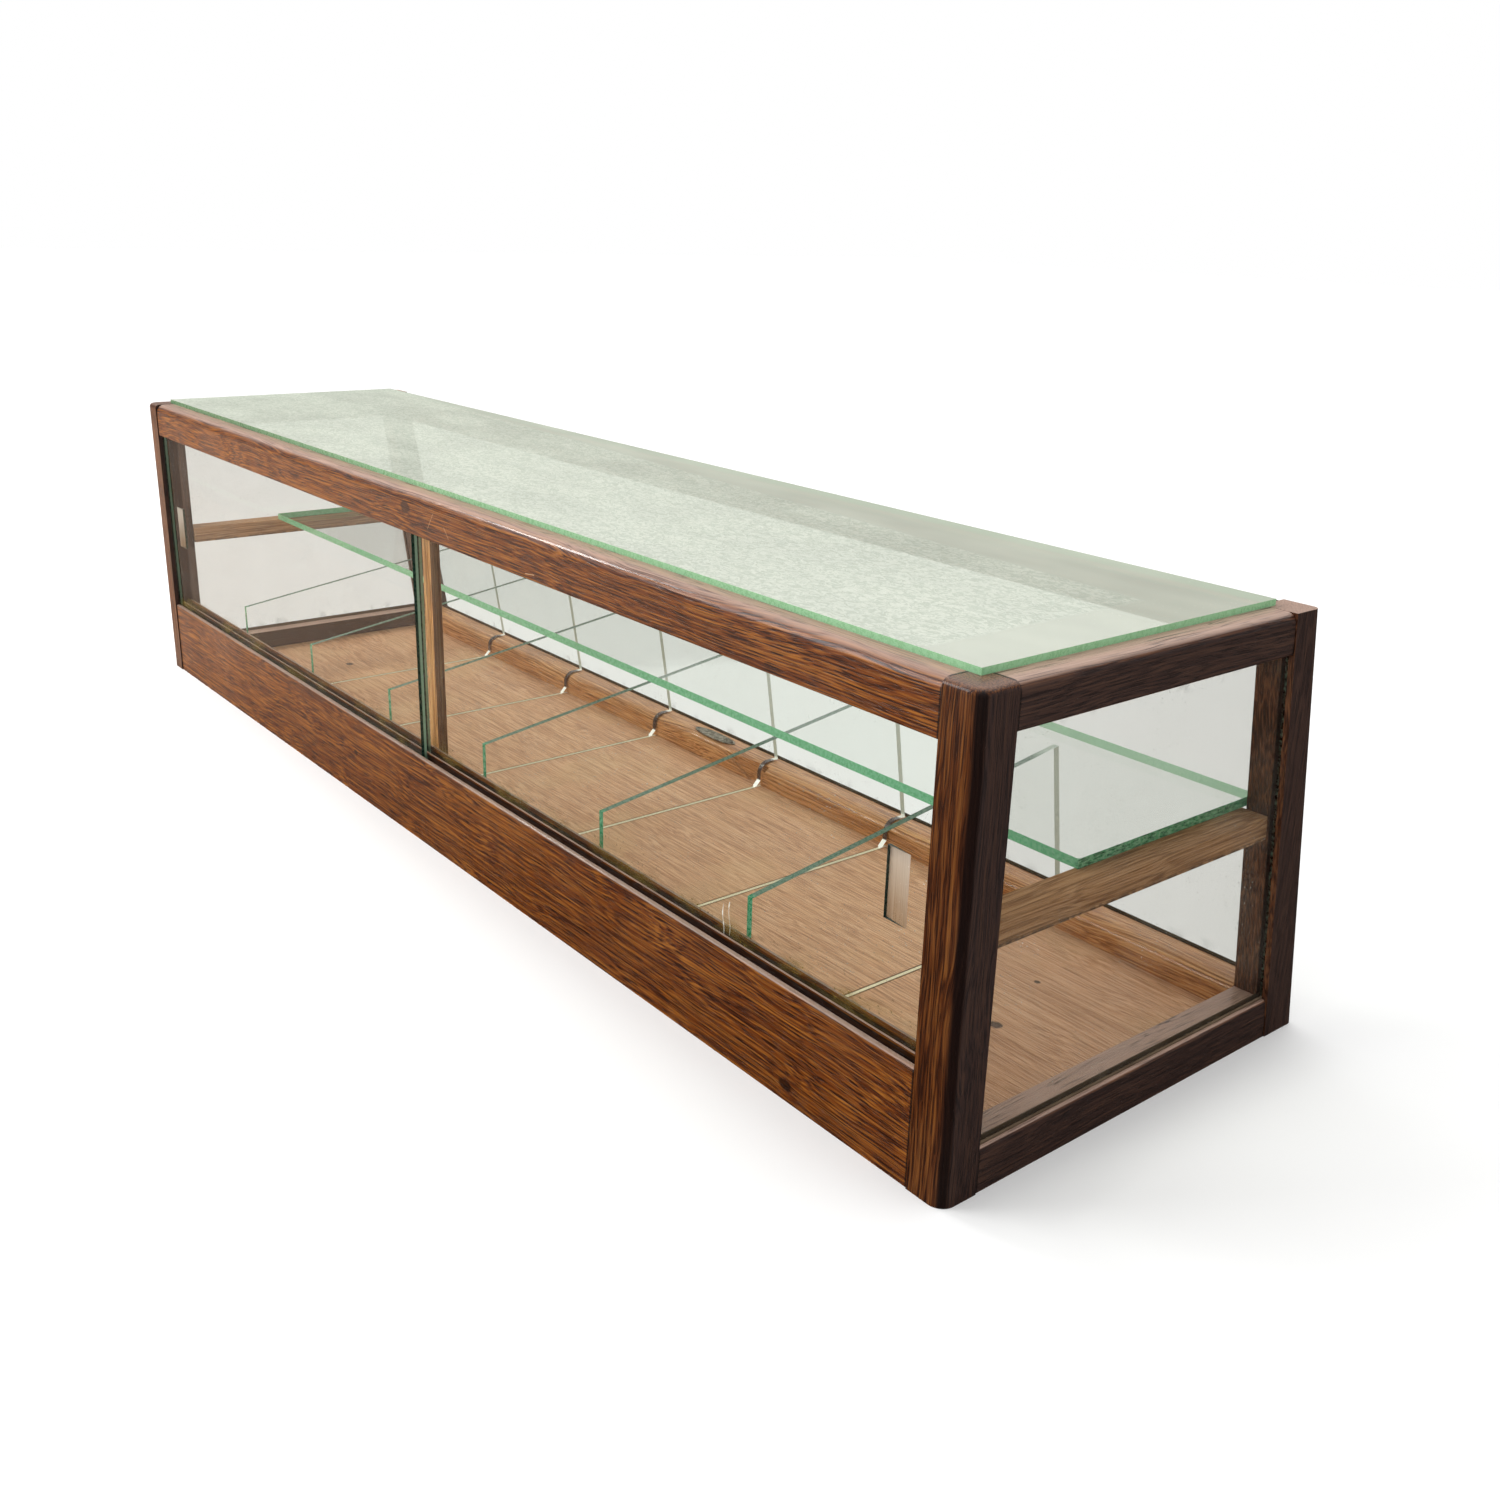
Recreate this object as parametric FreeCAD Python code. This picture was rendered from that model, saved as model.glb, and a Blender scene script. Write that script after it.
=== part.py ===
import FreeCAD, Part
import os

# Countertop display showcase: an oak frame with a leaning glass wall on the customers' side,
# a loose glass top, one glass shelf, six glass dividers and two sliding glass doors.
# Built in "bench" coordinates: X runs along the case, Y from the door side (0) to the
# customers' side, Z up from the counter. Every piece is moved to the case's own origin,
# the centre of its footprint, when it is written.

# ---- driving dimensions, millimetres ----------------------------------------------------
case_length = 1220.0
case_depth = 336.0
frame_height = 293.5
rear_lean = 45.5            # how far the customers' side leans in over the frame's height

front_post = 27.0           # square section
front_arris_radius = 10.0
rear_post_x = 25.0
rear_post_foot = 32.6       # width of the leaning post at the counter and at its top
rear_post_head = 24.5
joint_gap = 0.3             # open joint between a rail's shoulder and its post
rail_setback = 0.8          # rails sit this far behind the posts' faces

apron_height = 75.0         # top of the apron's front lip
apron_thickness = 18.4
back_shoulder_height = 78.8
door_rail_bottom = 261.0
top_rail_bottom = 267.5     # end rails and the customers' rail
top_rail_thickness = 27.0
end_rail_thickness = 24.5
end_rail_height = 28.0
ledge_height = 29.5
ledge_front = 299.5         # front face of the customers' bottom rail
ledge_round_y = 9.0
ledge_round_z = 10.0
ledge_nose = 0.6            # how far the moulded edge stands proud of the sill below it
ledge_lip_drop = 1.5        # the sill is lower outside the pane
arc_sag = 0.29              # where a quarter round's middle lies, as a share of its radius
tongue_rise = 1.5           # the sill's tongue between the tracks, above the front lip

post_rim_round = 4.0
rear_post_round = 5.0
bull_nose_round = 8.0
top_rail_round = 6.0
bottom_rail_round = 2.6
apron_lip_round = 1.8
lower_arris_round = 1.5
mullion_round = 1.0

floor_underside = 2.0
floor_top = 8.3
floor_rabbet = 7.2

pane = 4.0                  # fixed panes and the top
door_pane = 4.8
divider_pane = 4.8
shelf_pane = 6.3
groove_side_play = 0.25     # play each side of a fixed pane in its groove
groove_depth = 5.0
end_pane_inset = 4.1        # from the end faces to the end panes
top_glass_inset = 19.0
top_glass_rear = 272.3

outer_track_y = 4.2
inner_track_y = 11.2
track_width = 5.4
track_depth = 5.0
upper_track_depth = 12.0
door_lift = 6.0             # how far a door's top edge stands in the upper track
track_play = 0.4
door_overlap = 7.0
post_groove = 4.7           # depth of the groove that a closed door's outer edge enters

pull_width = 17.5           # ground finger pulls
pull_height = 43.0
pull_depth = 2.2
pull_from_post = 24.0
pull_bottom = 145.0

mullion_width = 13.5
mullion_depth = 8.7
mullion_tenon_half = 4.0
mullion_tenon_depth = 4.5
mullion_tenon_height = 6.0
mullion_tenon_setback = 2.0
brad_heights = (30.0, 62.0)
brad_radius = 0.8
brad_head_radius = 1.3
brad_head = 0.8
brad_grip = 7.0             # how far a brad goes into the apron

cleat_width = 20.6
cleat_height = 16.0
cleat_top = 158.8
cleat_pane_gap = 1.5
cleat_tenon = 5.0
cleat_tenon_half = 4.0      # half the tenon's height
cleat_tenon_x = (12.0, 22.0)  # from the case's end to the tenon's two cheeks
cleat_tenon_play = 0.6
shelf_front = 123.0
shelf_rear = 296.5
shelf_end_gap = 28.0        # from the case's end to the shelf's end
chip_radius = 9.0           # the chipped corner, cut by a ball
chip_offset = 5.0
chip_lift = 4.0

bay_count = 7
divider_front_height = 106.0
divider_rear_height = 148.0
divider_notch_gap = 1.2
divider_heel_gap = 1.3
divider_front_gap = 0.4
divider_wall_gap = 3.5
divider_toe_gap = 7.5       # from the ledge to the lower front corner of the notch
divider_toe_rise = 6.0
divider_instep_gap = 1.0

rail_dowel_radius = 3.0
apron_dowel_radius = 4.0
dowel_half_length = 14.0
dowel_end_room = 0.5
apron_dowel_heights = (30.0, 56.0)
upper_dowel_z = 285.0       # the long rails' dowels
lower_dowel_z = 19.0
end_upper_dowel_z = 274.0   # the end rails' dowels
end_lower_dowel_z = 8.0

nail_radius = 0.9
nail_head_radius = 1.9
nail_head = 0.8
nail_length = 14.0
nails_per_long_row = 7
first_nail_x = 60.0
end_nail_y = (80.0, 160.0, 240.0)

facet_start_x = 634.0       # the worn place on the ledge's moulded edge
facet_length = 62.0
facet_slope = 24.0
facet_turn = 2.0
facet_depth = 2.0
facet_reach = 1.6

plate_length = 60.0
plate_width = 14.0
plate_thickness = 0.8
plate_centre_y = 310.4
plate_pin_inset = 4.0
plate_pin_radius = 0.7
plate_pin_head_radius = 1.4
plate_pin_head = 0.6
plate_pin_length = 5.0

# ---- the leaning wall --------------------------------------------------------------------
lean = rear_lean / frame_height
wall_pane_foot = 321.4      # inner face of the leaning pane, level with the ledge


def rear_face(z):
    """Y of the case's outer face on the customers' side, at height z."""
    return case_depth - lean * z


def rear_joint(z):
    """Y of the rear posts' front face, at height z."""
    width = rear_post_foot + (rear_post_head - rear_post_foot) * z / frame_height
    return rear_face(z) - width


def wall_inside(z):
    """Y of the leaning pane's inner face, at height z."""
    return wall_pane_foot - lean * (z - ledge_height)


# ---- helpers -----------------------------------------------------------------------------
def box(x0, y0, z0, x1, y1, z1):
    return Part.makeBox(x1 - x0, y1 - y0, z1 - z0, FreeCAD.Vector(x0, y0, z0))


def prism(points, start, end, axis):
    """Extrude an outline along an axis; its points give the other two coordinates in order."""
    corners = []
    for a, b in points:
        corner = [a, b]
        corner.insert("XYZ".index(axis), start)
        corners.append(FreeCAD.Vector(*corner))
    face = Part.Face(Part.makePolygon(corners + corners[:1]))
    travel = [0.0, 0.0, 0.0]
    travel["XYZ".index(axis)] = end - start
    return face.extrude(FreeCAD.Vector(*travel))


def rod(radius, centre, length, direction):
    return Part.makeCylinder(radius, length, FreeCAD.Vector(*centre), FreeCAD.Vector(*direction))


def round_edges(shape, radius, wanted):
    """Round the straight edges whose two ends both pass the wanted(point) test."""
    chosen = []
    for edge in shape.Edges:
        ends = [vertex.Point for vertex in edge.Vertexes]
        if len(ends) == 2 and all(wanted(end) for end in ends):
            chosen.append(edge)
    return shape.makeFillet(radius, chosen)


def near(value, target):
    return abs(value - target) < 0.05


def mirror_end(shape):
    """The same piece at the opposite end of the case."""
    return shape.mirror(FreeCAD.Vector(case_length / 2, 0, 0), FreeCAD.Vector(1, 0, 0))


# ---- panes that sit in grooves, and the grooves -----------------------------------------
def leaning_plate(x0, x1, z0, z1, play):
    """A plate parallel to the leaning wall, with play added on both of its faces."""
    outline = [
        (wall_inside(z0) - play, z0),
        (wall_inside(z0) + pane + play, z0),
        (wall_inside(z1) + pane + play, z1),
        (wall_inside(z1) - play, z1),
    ]
    return prism(outline, x0, x1, "X")


def customer_glass():
    edge = rear_post_x - groove_depth + 1.0
    return leaning_plate(edge, case_length - edge, ledge_height - groove_depth,
                         top_rail_bottom + groove_depth, 0.0)


def customer_groove():
    edge = rear_post_x - groove_depth
    return leaning_plate(edge, case_length - edge, ledge_height - groove_depth - 0.6,
                         top_rail_bottom + groove_depth + 1.0, groove_side_play)


def end_plate(grow, play):
    """An end pane, or with grow and play its groove, at the +X end."""
    x1 = case_length - end_pane_inset + play
    x0 = case_length - end_pane_inset - pane - play
    front = front_post - groove_depth + 1.0 - grow
    z0 = end_rail_height - groove_depth - grow
    z1 = top_rail_bottom + groove_depth + grow
    rear_inset = groove_depth - 1.0 + grow
    outline = [
        (front, z0),
        (rear_joint(z0) + rear_inset, z0),
        (rear_joint(z1) + rear_inset, z1),
        (front, z1),
    ]
    return prism(outline, x0, x1, "X")


def end_groove():
    return end_plate(0.6, groove_side_play)


def floor_cut():
    """Room for the floor board in the bottoms of the rails."""
    return box(end_rail_thickness - floor_rabbet, apron_thickness - floor_rabbet, -1.0,
               case_length - end_rail_thickness + floor_rabbet, ledge_front + floor_rabbet,
               floor_top + 0.1)


# ---- dowels ------------------------------------------------------------------------------
def dowel_places():
    """(radius, centre, axis) of every dowel at the +X end, grouped by the node it is in."""
    end = case_length
    rail = []
    for y in (8.5, 20.0):
        rail.append((rail_dowel_radius, (end - front_post, y, upper_dowel_z), (1, 0, 0)))
    rail.append((rail_dowel_radius, (end - rear_post_x, 275.0, upper_dowel_z), (1, 0, 0)))
    rail.append((rail_dowel_radius, (end - rear_post_x, 314.0, lower_dowel_z), (1, 0, 0)))
    for x_inset, z in ((16.0, end_upper_dowel_z), (12.0, end_lower_dowel_z)):
        for y in (front_post, rear_joint(z)):
            rail.append((rail_dowel_radius, (end - x_inset, y, z), (0, 1, 0)))
    apron = []
    for z in apron_dowel_heights:
        apron.append((apron_dowel_radius, (end - front_post, apron_thickness / 2, z), (1, 0, 0)))
    return rail, apron


def dowel_solids(places, extra):
    solids = []
    for radius, centre, axis in places:
        half = dowel_half_length + extra
        start = [c - half * a for c, a in zip(centre, axis)]
        pin = rod(radius, start, 2 * half, axis)
        solids.append(pin)
        solids.append(mirror_end(pin))
    return solids


def all_dowel_holes():
    rail, apron = dowel_places()
    return Part.makeCompound(dowel_solids(rail + apron, dowel_end_room))


# ---- floor nails -------------------------------------------------------------------------
def nail_places():
    places = []
    front_row = apron_thickness - floor_rabbet / 2
    rear_row = ledge_front + floor_rabbet / 2
    for i in range(nails_per_long_row):
        x = first_nail_x + i * (case_length - 2 * first_nail_x) / (nails_per_long_row - 1)
        places.append((x, front_row))
        places.append((x, rear_row))
    for y in end_nail_y:
        places.append((end_rail_thickness - floor_rabbet / 2, y))
        places.append((case_length - end_rail_thickness + floor_rabbet / 2, y))
    return places


def floor_nails():
    nails = []
    for x, y in nail_places():
        shank = rod(nail_radius, (x, y, floor_underside), nail_length, (0, 0, 1))
        head = rod(nail_head_radius, (x, y, floor_underside), nail_head, (0, 0, 1))
        nails.append(shank.fuse(head))
    return Part.makeCompound(nails)


# ---- posts -------------------------------------------------------------------------------
def door_track(start, end, bottom, top, track_y):
    return box(start, track_y, bottom, end, track_y + track_width, top)


def front_right_post():
    end = case_length
    post = box(end - front_post, 0, 0, end, front_post, frame_height)
    post = round_edges(post, front_arris_radius, lambda p: near(p.x, end) and near(p.y, 0))
    top_rim = [
        edge for edge in post.Edges
        if all(near(v.Point.z, frame_height) for v in edge.Vertexes)
        and (edge.BoundBox.XMin > end - front_post + 1 or edge.BoundBox.YMax < front_post - 1)
    ]
    return post.makeFillet(post_rim_round, top_rim)


def front_post_with(track_y):
    """The front post at the +X end, with the groove for the door in the given track."""
    inner_face = case_length - front_post
    slot = door_track(inner_face, inner_face + post_groove, apron_height - track_depth,
                      door_rail_bottom + upper_track_depth, track_y)
    post = front_right_post().cut(slot).cut(end_groove())
    return post.cut(cleat_tenon_bar(cleat_tenon_play)).cut(all_dowel_holes())


def rear_right_post():
    outline = [
        (rear_joint(0), 0),
        (rear_face(0), 0),
        (rear_face(frame_height), frame_height),
        (rear_joint(frame_height), frame_height),
    ]
    post = prism(outline, case_length - rear_post_x, case_length, "X")
    post = round_edges(post, rear_post_round,
                       lambda p: near(p.x, case_length) and near(p.y, rear_face(p.z)))
    post = post.cut(end_groove()).cut(customer_groove())
    return post.cut(cleat_tenon_bar(cleat_tenon_play)).cut(all_dowel_holes())


# ---- rails -------------------------------------------------------------------------------
def door_side_top_rail():
    x0 = front_post + joint_gap
    x1 = case_length - x0
    rail = box(x0, rail_setback, door_rail_bottom, x1, top_rail_thickness, frame_height)
    rail = round_edges(rail, bull_nose_round,
                       lambda p: near(p.y, rail_setback) and near(p.z, frame_height))
    rail = round_edges(rail, lower_arris_round,
                       lambda p: near(p.y, rail_setback) and near(p.z, door_rail_bottom))
    for track_y in (outer_track_y, inner_track_y):
        rail = rail.cut(door_track(x0 - 1, x1 + 1, door_rail_bottom - 1,
                                   door_rail_bottom + upper_track_depth, track_y))
    return rail.cut(mullion()).cut(all_dowel_holes())


def door_sill_apron():
    x0 = front_post + joint_gap
    x1 = case_length - x0
    tongue_top = apron_height + tongue_rise
    outer_end = outer_track_y + track_width
    inner_end = inner_track_y + track_width
    track_floor = apron_height - track_depth
    outline = [
        (rail_setback, 0),
        (apron_thickness, 0),
        (apron_thickness, back_shoulder_height),
        (inner_end, back_shoulder_height),
        (inner_end, track_floor),
        (inner_track_y, track_floor),
        (inner_track_y, tongue_top),
        (outer_end, tongue_top),
        (outer_end, track_floor),
        (outer_track_y, track_floor),
        (outer_track_y, apron_height),
        (rail_setback, apron_height),
    ]
    apron = prism(outline, x0, x1, "X")
    apron = round_edges(apron, apron_lip_round,
                        lambda p: near(p.y, rail_setback) and near(p.z, apron_height))
    return apron.cut(floor_cut()).cut(all_dowel_holes()).cut(floor_nails()).cut(mullion_brads())


def end_top_rail():
    x0 = case_length - top_rail_thickness
    outline = [
        (front_post + joint_gap, top_rail_bottom),
        (rear_joint(top_rail_bottom) - joint_gap, top_rail_bottom),
        (rear_joint(frame_height) - joint_gap, frame_height),
        (front_post + joint_gap, frame_height),
    ]
    x1 = case_length - rail_setback
    rail = prism(outline, x0, x1, "X")
    rail = round_edges(rail, top_rail_round,
                       lambda p: near(p.x, x1) and near(p.z, frame_height))
    rail = round_edges(rail, lower_arris_round,
                       lambda p: near(p.x, x1) and near(p.z, top_rail_bottom))
    # The customers' rail is wider than its post, so the end rail's inner corner is cut away.
    reach = rail_setback + top_rail_thickness + joint_gap
    corner = prism([
        (rear_face(top_rail_bottom) - reach, top_rail_bottom),
        (rear_face(top_rail_bottom), top_rail_bottom),
        (rear_face(frame_height), frame_height),
        (rear_face(frame_height) - reach, frame_height),
    ], x0 - 1, case_length - rear_post_x, "X")
    return rail.cut(corner).cut(end_groove()).cut(all_dowel_holes())


def end_bottom_rail():
    x0 = case_length - end_rail_thickness
    outline = [
        (front_post + joint_gap, 0),
        (rear_joint(0) - joint_gap, 0),
        (rear_joint(end_rail_height) - joint_gap, end_rail_height),
        (front_post + joint_gap, end_rail_height),
    ]
    x1 = case_length - rail_setback
    rail = prism(outline, x0, x1, "X")
    rail = round_edges(rail, bottom_rail_round,
                       lambda p: near(p.x, x1) and near(p.z, end_rail_height))
    # The customers' rail runs past the end rails' inner corners, so they are cut away there.
    corner = box(x0 - 1, ledge_front - joint_gap, -1, x0 + floor_rabbet + 0.1, case_depth,
                 end_rail_height + 1)
    rail = rail.cut(corner).cut(end_groove()).cut(floor_cut())
    return rail.cut(all_dowel_holes()).cut(floor_nails())


def customer_top_rail():
    x0 = rear_post_x + joint_gap
    outline = [
        (rear_face(top_rail_bottom) - rail_setback - top_rail_thickness, top_rail_bottom),
        (rear_face(top_rail_bottom) - rail_setback, top_rail_bottom),
        (rear_face(frame_height) - rail_setback, frame_height),
        (rear_face(frame_height) - rail_setback - top_rail_thickness, frame_height),
    ]
    rail = prism(outline, x0, case_length - x0, "X")
    rail = round_edges(rail, top_rail_round, lambda p: near(p.z, frame_height)
                       and near(p.y, rear_face(frame_height) - rail_setback))
    return rail.cut(customer_groove()).cut(all_dowel_holes())


def customer_bottom_rail():
    """The leaning pane's sill: a flat ledge inside, with a moulded front edge."""
    x0 = rear_post_x + joint_gap
    lip_height = ledge_height - ledge_lip_drop
    nose = ledge_nose
    nose_height = ledge_height - ledge_round_z
    arc = Part.Arc(
        FreeCAD.Vector(x0, ledge_front - nose, nose_height),
        FreeCAD.Vector(x0, ledge_front + arc_sag * ledge_round_y,
                       ledge_height - arc_sag * ledge_round_z),
        FreeCAD.Vector(x0, ledge_front + ledge_round_y, ledge_height))
    corners = [
        (ledge_front + ledge_round_y, ledge_height),
        (wall_inside(ledge_height) + pane / 2, ledge_height),
        (wall_inside(lip_height) + pane / 2, lip_height),
        (rear_face(lip_height) - rail_setback, lip_height),
        (rear_face(0) - rail_setback, 0),
        (ledge_front, 0),
        (ledge_front, nose_height - nose),
        (ledge_front - nose, nose_height - nose),
        (ledge_front - nose, nose_height),
    ]
    points = [FreeCAD.Vector(x0, y, z) for y, z in corners]
    edges = [arc.toShape()]
    for start, end in zip(points, points[1:]):
        edges.append(Part.makeLine(start, end))
    face = Part.Face(Part.Wire(edges))
    rail = face.extrude(FreeCAD.Vector(case_length - 2 * x0, 0, 0))
    rail = round_edges(rail, bottom_rail_round, lambda p: near(p.z, lip_height)
                       and near(p.y, rear_face(lip_height) - rail_setback))
    rail = rail.cut(customer_groove()).cut(floor_cut()).cut(worn_facet())
    return rail.cut(all_dowel_holes()).cut(floor_nails()).cut(plate_pins())


def worn_facet():
    """A shallow slanting cut worn into the ledge's moulded edge, between the middle dividers."""
    cutter = box(0, -12, 0, facet_length, 0, 30)
    cutter.rotate(FreeCAD.Vector(0, 0, 0), FreeCAD.Vector(0, 1, 0), facet_slope)
    cutter.rotate(FreeCAD.Vector(0, 0, 0), FreeCAD.Vector(0, 0, 1), facet_turn)
    cutter.translate(FreeCAD.Vector(facet_start_x, ledge_front + facet_reach,
                                    ledge_height - facet_depth))
    return cutter


# ---- pieces inside the frame -------------------------------------------------------------
def centre_mullion():
    x0 = (case_length - mullion_width) / 2
    bar = box(x0, apron_thickness, floor_top, x0 + mullion_width,
              apron_thickness + mullion_depth, door_rail_bottom)
    bar = round_edges(bar, mullion_round, lambda p: near(p.y, apron_thickness + mullion_depth)
                      and (near(p.x, x0) or near(p.x, x0 + mullion_width)))
    return bar


def mullion_tenon():
    centre = case_length / 2
    y0 = apron_thickness + mullion_tenon_setback
    return box(centre - mullion_tenon_half, y0, door_rail_bottom,
               centre + mullion_tenon_half, y0 + mullion_tenon_depth,
               door_rail_bottom + mullion_tenon_height)


def mullion():
    return centre_mullion().fuse(mullion_tenon()).removeSplitter()


def mullion_brads():
    brads = []
    length = mullion_depth + brad_grip
    back = apron_thickness + mullion_depth
    for z in brad_heights:
        shank = rod(brad_radius, (case_length / 2, back - length, z), length, (0, 1, 0))
        head = rod(brad_head_radius, (case_length / 2, back - brad_head, z), brad_head, (0, 1, 0))
        brads.append(shank.fuse(head))
    return Part.makeCompound(brads)


def floor_board():
    x0 = end_rail_thickness - floor_rabbet + joint_gap
    y0 = apron_thickness - floor_rabbet + joint_gap
    y1 = ledge_front + floor_rabbet - joint_gap
    board = box(x0, y0, floor_underside, case_length - x0, y1, floor_top)
    front_notch = front_post + joint_gap
    rear_notch = rear_joint(floor_top) - 1.0
    for cut_x in (0, case_length - front_notch):
        board = board.cut(box(cut_x, 0, 0, cut_x + front_notch, front_notch, floor_top + 1))
    rear_width = rear_post_x + joint_gap
    for cut_x in (0, case_length - rear_width):
        board = board.cut(box(cut_x, rear_notch, 0, cut_x + rear_width, case_depth, floor_top + 1))
    return board.cut(floor_nails())


def cleat_tenon_bar(room):
    """The cleat's two tenons as one bar, longer by room at each end."""
    reach = cleat_tenon + room
    middle = cleat_top - cleat_height / 2
    near_cheek, far_cheek = cleat_tenon_x
    return box(case_length - far_cheek, front_post - reach, middle - cleat_tenon_half,
               case_length - near_cheek, rear_joint(middle) + reach, middle + cleat_tenon_half)


def shelf_cleat():
    """A shelf cleat at the +X end; its tenons stand in the posts."""
    x1 = case_length - end_pane_inset - pane - cleat_pane_gap
    z0 = cleat_top - cleat_height
    outline = [
        (front_post + joint_gap, z0),
        (rear_joint(z0) - joint_gap, z0),
        (rear_joint(cleat_top) - joint_gap, cleat_top),
        (front_post + joint_gap, cleat_top),
    ]
    bar = prism(outline, x1 - cleat_width, x1, "X")
    return bar.fuse(cleat_tenon_bar(0.0)).removeSplitter()


def shelf_glass():
    """A loose shelf on the two cleats, with one chipped corner."""
    edge = shelf_end_gap
    top = cleat_top + shelf_pane
    plate = box(edge, shelf_front, cleat_top, case_length - edge, shelf_rear, top)
    chip = Part.makeSphere(chip_radius, FreeCAD.Vector(
        case_length - edge + chip_offset, shelf_front - chip_offset, top + chip_lift))
    return plate.cut(chip)


def top_glass():
    return box(top_glass_inset, top_glass_inset, frame_height, case_length - top_glass_inset,
               top_glass_rear, frame_height + pane)


def divider(x):
    """A glass divider: it stands on the floor and is notched over the ledge."""
    gap = divider_notch_gap
    front = apron_thickness + divider_front_gap
    heel = ledge_height + divider_heel_gap
    nose_y = ledge_front - ledge_nose - gap
    nose_z = ledge_height - ledge_round_z
    heel_y = wall_inside(heel) - divider_wall_gap
    head_y = wall_inside(divider_rear_height) - divider_wall_gap

    def at(y, z):
        return FreeCAD.Vector(x - divider_pane / 2, y, z)

    toe = at(ledge_front - divider_toe_gap, floor_top)
    ankle = at(nose_y, floor_top + divider_toe_rise)
    nose = at(nose_y, nose_z)
    crown = at(ledge_front + arc_sag * ledge_round_y - gap,
               ledge_height - arc_sag * ledge_round_z + gap)
    instep = at(ledge_front + ledge_round_y - divider_instep_gap, heel)
    heel_corner = at(heel_y, heel)
    head = at(head_y, divider_rear_height)
    brow = at(front, divider_front_height)
    foot = at(front, floor_top)
    edges = [
        Part.makeLine(toe, ankle),
        Part.makeLine(ankle, nose),
        Part.Arc(nose, crown, instep).toShape(),
        Part.makeLine(instep, heel_corner),
        Part.makeLine(heel_corner, head),
        Part.makeLine(head, brow),
        Part.makeLine(brow, foot),
        Part.makeLine(foot, toe),
    ]
    face = Part.Face(Part.Wire(edges))
    return face.extrude(FreeCAD.Vector(divider_pane, 0, 0))


# ---- sliding doors -----------------------------------------------------------------------
def sliding_door(side):
    """A frameless door with a ramped finger pull ground into its outer face."""
    play = (track_width - door_pane) / 2
    z0 = apron_height - track_depth + track_play
    z1 = door_rail_bottom + door_lift
    outer_edge = front_post - post_groove + track_play
    reach = (case_length + door_overlap) / 2 - outer_edge
    if side == "left":
        x0 = outer_edge
        y0 = outer_track_y + play
        steep_x = front_post + pull_from_post + pull_width
        ramp_x = steep_x - pull_width
    else:
        x0 = case_length - outer_edge - reach
        y0 = inner_track_y + play
        steep_x = case_length - front_post - pull_from_post - pull_width
        ramp_x = steep_x + pull_width
    plate = box(x0, y0, z0, x0 + reach, y0 + door_pane, z1)
    ramp = [(ramp_x, y0), (steep_x, y0 + pull_depth), (steep_x, y0 - 1.0), (ramp_x, y0 - 1.0)]
    return plate.cut(prism(ramp, pull_bottom, pull_bottom + pull_height, "Z"))


# ---- oval plate --------------------------------------------------------------------------
def plate_pins():
    pins = []
    for side in (-1, 1):
        x = case_length / 2 + side * (plate_length / 2 - plate_pin_inset)
        shank = rod(plate_pin_radius, (x, plate_centre_y, ledge_height - plate_pin_length),
                    plate_pin_length + plate_thickness, (0, 0, 1))
        head = rod(plate_pin_head_radius, (x, plate_centre_y, ledge_height + plate_thickness),
                   plate_pin_head, (0, 0, 1))
        pins.append(shank.fuse(head))
    return Part.makeCompound(pins)


def oval_plate():
    centre = FreeCAD.Vector(case_length / 2, plate_centre_y, ledge_height)
    ellipse = Part.Ellipse(centre, plate_length / 2, plate_width / 2)
    face = Part.Face(Part.Wire([ellipse.toShape()]))
    return face.extrude(FreeCAD.Vector(0, 0, plate_thickness)).cut(plate_pins())


# ---- all nodes ---------------------------------------------------------------------------
def build():
    rail_places, apron_places = dowel_places()
    nodes = {
        "front_left_post": mirror_end(front_post_with(outer_track_y)),
        "front_right_post": front_post_with(inner_track_y),
        "rear_left_post": mirror_end(rear_right_post()),
        "rear_right_post": rear_right_post(),
        "door_side_top_rail": door_side_top_rail(),
        "door_sill_apron": door_sill_apron(),
        "customer_top_rail": customer_top_rail(),
        "customer_bottom_rail": customer_bottom_rail(),
        "left_end_top_rail": mirror_end(end_top_rail()),
        "right_end_top_rail": end_top_rail(),
        "left_end_bottom_rail": mirror_end(end_bottom_rail()),
        "right_end_bottom_rail": end_bottom_rail(),
        "rail_dowels": Part.makeCompound(dowel_solids(rail_places, 0.0)),
        "apron_dowels": Part.makeCompound(dowel_solids(apron_places, 0.0)),
        "floor_board": floor_board(),
        "floor_nails": floor_nails(),
        "centre_mullion": mullion().cut(mullion_brads()),
        "mullion_brads": mullion_brads(),
        "left_shelf_cleat": mirror_end(shelf_cleat()),
        "right_shelf_cleat": shelf_cleat(),
        "top_glass": top_glass(),
        "shelf_glass": shelf_glass(),
        "left_end_glass": mirror_end(end_plate(0.0, 0.0)),
        "right_end_glass": end_plate(0.0, 0.0),
        "customer_glass": customer_glass(),
        "left_sliding_door": sliding_door("left"),
        "right_sliding_door": sliding_door("right"),
        "oval_plate": oval_plate(),
        "plate_pins": plate_pins(),
    }
    inside = case_length - 2 * rear_post_x
    for i in range(1, bay_count):
        nodes["divider_%d" % i] = divider(rear_post_x + inside * i / bay_count)
    return nodes


def write(nodes):
    os.makedirs("parts", exist_ok=True)
    to_origin = FreeCAD.Vector(-case_length / 2, -case_depth / 2, 0)
    for name, shape in nodes.items():
        shape.translate(to_origin)
        shape.exportStep("parts/" + name + ".step")


write(build())
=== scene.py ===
import math

import bpy
from mathutils import Matrix, Vector


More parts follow.
